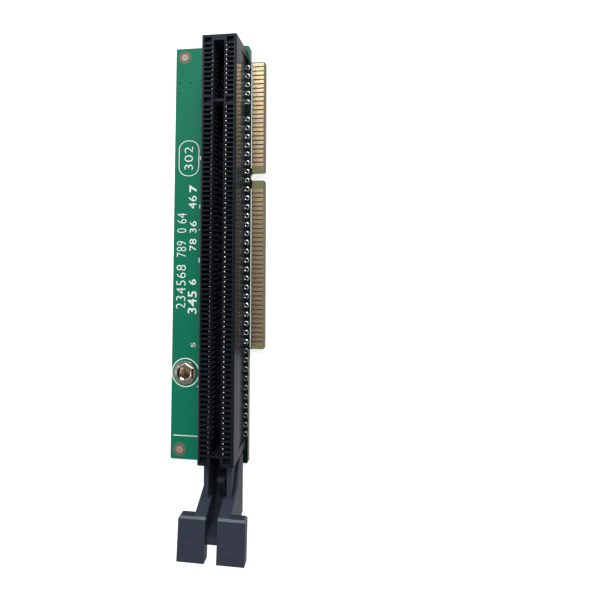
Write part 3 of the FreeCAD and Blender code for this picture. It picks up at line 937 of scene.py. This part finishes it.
def make_floor():
    bm = bmesh.new()
    bmesh.ops.create_grid(bm, x_segments=1, y_segments=1, size=FLOOR_SIZE)
    bmesh.ops.translate(bm, verts=bm.verts, vec=(0, 0, FLOOR_Z))
    mesh = bpy.data.meshes.new("floor")
    bm.to_mesh(mesh)
    bm.free()
    floor = bpy.data.objects.new("floor", mesh)
    bpy.context.scene.collection.objects.link(floor)
    material = bpy.data.materials.new("pale_floor")
    material.use_nodes = True
    nodes, links = material.node_tree.nodes, material.node_tree.links
    shader = nodes["Principled BSDF"]
    shader.inputs["Base Color"].default_value = (0.62, 0.62, 0.62, 1)
    shader.inputs["Roughness"].default_value = 0.9
    shader.inputs["Specular IOR Level"].default_value = 0.0
    glow = nodes.new("ShaderNodeEmission")
    glow.inputs["Strength"].default_value = FLOOR_GLOW
    both = nodes.new("ShaderNodeAddShader")
    pick = nodes.new("ShaderNodeMixShader")
    rays = nodes.new("ShaderNodeLightPath")
    mirrored = calculate(nodes, links, "MULTIPLY", rays.outputs["Is Glossy Ray"], MIRRORED_GLOW)
    seen = calculate(nodes, links, "MAXIMUM", rays.outputs["Is Camera Ray"], mirrored)
    links.new(shader.outputs[0], both.inputs[0])
    links.new(glow.outputs[0], both.inputs[1])
    links.new(seen, pick.inputs[0])
    links.new(shader.outputs[0], pick.inputs[1])
    links.new(both.outputs[0], pick.inputs[2])
    links.new(pick.outputs[0], nodes["Material Output"].inputs["Surface"])
    mesh.materials.append(material)


make_floor()
print("floor at z", round(FLOOR_Z / MM, 2), "mm")

# %% [markdown]
# The world is a soft grey room, brighter towards the horizon, and the camera sees it as plain white.

# %% World
HORIZON = (0.85, 0.85, 0.86, 1)
ZENITH = (0.39, 0.39, 0.41, 1)
ROOM_STRENGTH = 0.55


def make_world():
    world = bpy.data.worlds.new("studio")
    world.use_nodes = True
    nodes, links = world.node_tree.nodes, world.node_tree.links
    room = nodes["Background"]
    place = nodes.new("ShaderNodeTexCoord")
    split = nodes.new("ShaderNodeSeparateXYZ")
    ramp = nodes.new("ShaderNodeValToRGB")
    ramp.color_ramp.elements[0].position = 0.0
    ramp.color_ramp.elements[0].color = HORIZON
    ramp.color_ramp.elements[1].position = 1.0
    ramp.color_ramp.elements[1].color = ZENITH
    links.new(place.outputs["Generated"], split.inputs["Vector"])
    links.new(split.outputs["Z"], ramp.inputs["Fac"])
    links.new(ramp.outputs["Color"], room.inputs["Color"])
    room.inputs["Strength"].default_value = ROOM_STRENGTH
    plain = nodes.new("ShaderNodeBackground")
    plain.inputs["Color"].default_value = (1, 1, 1, 1)
    pick = nodes.new("ShaderNodeMixShader")
    rays = nodes.new("ShaderNodeLightPath")
    links.new(rays.outputs["Is Camera Ray"], pick.inputs[0])
    links.new(room.outputs[0], pick.inputs[1])
    links.new(plain.outputs[0], pick.inputs[2])
    links.new(pick.outputs[0], nodes["World Output"].inputs["Surface"])
    bpy.context.scene.world = world


make_world()
print("world is set")

# %% [markdown]
# Three soft lamps light the card, each given by its place, the point it looks at, its width and height in metres and
# its power in watts. The key light stands beyond the card's upper end, so round metal gets its bright spot on that
# side. A weaker one fills from the left, and one above the upper end is mirrored by flat metal there and not by the
# lower metal.


# %% Lamps
def add_soft_light(name, place, target, width, height, power):
    light = bpy.data.lights.new(name, "AREA")
    light.shape = "RECTANGLE"
    light.size = width
    light.size_y = height
    light.energy = power
    lamp = bpy.data.objects.new(name, light)
    lamp.location = place
    lamp.rotation_euler = (Vector(target) - Vector(place)).to_track_quat("-Z", "Y").to_euler()
    bpy.context.scene.collection.objects.link(lamp)


add_soft_light("softbox_back", (-0.09, 0.32, 0.50), (-0.09, 0.32, 0.0), 0.55, 0.42, 0.50)
add_soft_light("softbox_key", (0.10, 0.42, 0.42), (0.0, 0.03, 0.0), 0.34, 0.34, 3.4)
add_soft_light("softbox_left", (-0.55, 0.02, 0.42), (0.0, 0.02, 0.0), 0.45, 0.45, 1.5)
print("three lamps are set")

# %% [markdown]
# The camera looks down on the card from its right, so that the slot's right wall shows. Its lens is shifted, because
# the card stands beside the middle of the view, and depth of field stays off.


# %% Camera
def make_camera():
    data = bpy.data.cameras.new("camera")
    data.sensor_width = 36.0
    data.lens = 29.91
    data.shift_x = 0.0199
    data.shift_y = -0.1453
    data.clip_start = 0.001
    data.clip_end = 20.0
    camera = bpy.data.objects.new("camera", data)
    camera.location = (39.02 * MM, 29.25 * MM, 109.70 * MM)
    camera.rotation_euler = (math.radians(3.418), math.radians(8.170), math.radians(0.095))
    bpy.context.scene.collection.objects.link(camera)
    bpy.context.scene.camera = camera


make_camera()
bpy.context.scene.view_settings.view_transform = "Standard"
print("camera is set")
